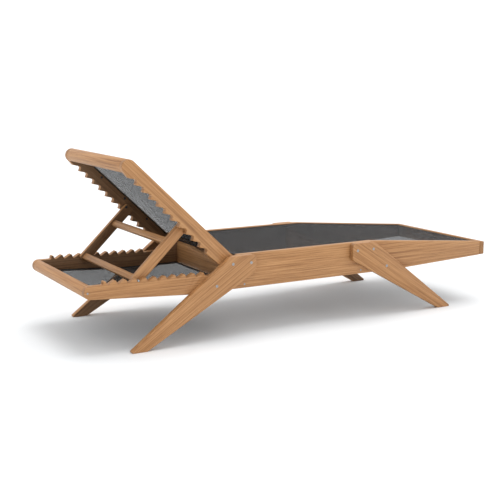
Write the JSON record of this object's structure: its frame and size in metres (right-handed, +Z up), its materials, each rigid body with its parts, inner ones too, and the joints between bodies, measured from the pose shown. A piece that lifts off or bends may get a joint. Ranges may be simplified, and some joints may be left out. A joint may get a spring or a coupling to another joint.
{
  "type": "sun lounger",
  "caption": "Reclining hardwood sun lounger with taut mesh seat and backrest, saw-toothed side rails, a folding prop frame and a mesh storage tray under the backrest.",
  "frame": {"origin": "on the ground, under the middle of the lounger's bounding box", "axes": "+X along the lounger towards the foot end, +Y across it, +Z up"},
  "size_m": [2.06, 0.7156, 0.7726],
  "materials": {
    "rail_wood": "oiled hardwood, straight grain along each board",
    "cross_wood": "oiled hardwood, straight grain across the lounger",
    "leg_wood": "oiled hardwood, straight grain along each leg",
    "prop_wood": "oiled hardwood, straight grain",
    "sheet_weave": "dark see-through weave of coated yarn",
    "edge_rod": "plain plastic rod in the sheet's hem",
    "fastener_steel": "satin stainless steel",
    "screw_dark": "black passivated steel"
  },
  "bodies": {
    "base": {"backrest_pivot_bolt_left": "fastener_steel", "backrest_pivot_bolt_right": "fastener_steel", "foot_leg_bolt_left_1": "fastener_steel", "foot_leg_bolt_left_2": "fastener_steel", "foot_leg_bolt_left_3": "fastener_steel", "foot_leg_bolt_right_1": "fastener_steel", "foot_leg_bolt_right_2": "fastener_steel", "foot_leg_bolt_right_3": "fastener_steel", "foot_leg_left": "leg_wood", "foot_leg_right": "leg_wood", "foot_rail": "cross_wood", "head_leg_bolt_left_1": "fastener_steel", "head_leg_bolt_left_2": "fastener_steel", "head_leg_bolt_right_1": "fastener_steel", "head_leg_bolt_right_2": "fastener_steel", "head_leg_left": "leg_wood", "head_leg_right": "leg_wood", "head_rail": "cross_wood", "head_rail_screw_left": "fastener_steel", "head_rail_screw_right": "fastener_steel", "hip_board_screw_left_lower": "fastener_steel", "hip_board_screw_left_upper": "fastener_steel", "hip_board_screw_right_lower": "fastener_steel", "hip_board_screw_right_upper": "fastener_steel", "hip_cross_board": "cross_wood", "knee_board_screw_left_lower": "fastener_steel", "knee_board_screw_left_upper": "fastener_steel", "knee_board_screw_right_lower": "fastener_steel", "knee_board_screw_right_upper": "fastener_steel", "knee_cross_board": "cross_wood", "seat_edge_rod_left": "edge_rod", "seat_edge_rod_right": "edge_rod", "seat_mesh": "sheet_weave", "side_rail_left": "rail_wood", "side_rail_right": "rail_wood", "tray_edge_rod_left": "edge_rod", "tray_edge_rod_right": "edge_rod", "tray_mesh": "sheet_weave"},
    "backrest": {"backrest_edge_rod_left": "edge_rod", "backrest_edge_rod_right": "edge_rod", "backrest_head_rail": "cross_wood", "backrest_head_screw_left": "fastener_steel", "backrest_head_screw_right": "fastener_steel", "backrest_mesh": "sheet_weave", "backrest_rail_left": "rail_wood", "backrest_rail_right": "rail_wood"},
    "prop": {"prop_arm_left": "prop_wood", "prop_arm_right": "prop_wood", "prop_lower_bar": "prop_wood", "prop_pin_left": "fastener_steel", "prop_pin_right": "fastener_steel", "prop_pivot_screw_left": "screw_dark", "prop_pivot_screw_right": "screw_dark", "prop_upper_bar": "prop_wood", "prop_washer_left": "screw_dark", "prop_washer_right": "screw_dark"}
  },
  "joints": [
    {"name": "backrest_recline", "type": "hinge", "parent": "base", "child": "backrest", "pos_m": [-0.387, 0, 0.32], "axis": [0, 1, 0], "range_deg": [-43.4, 26.7]},
    {"name": "prop_swing", "type": "hinge", "parent": "backrest", "child": "prop", "pos_m": [-0.59465, 0, 0.49847], "axis": [0, 1, 0], "range_deg": [-53, 86.1]}
  ],
  "couplings": [
    {"joint": "prop_swing", "follows": "backrest_recline", "ratio": -1.9832}
  ]
}
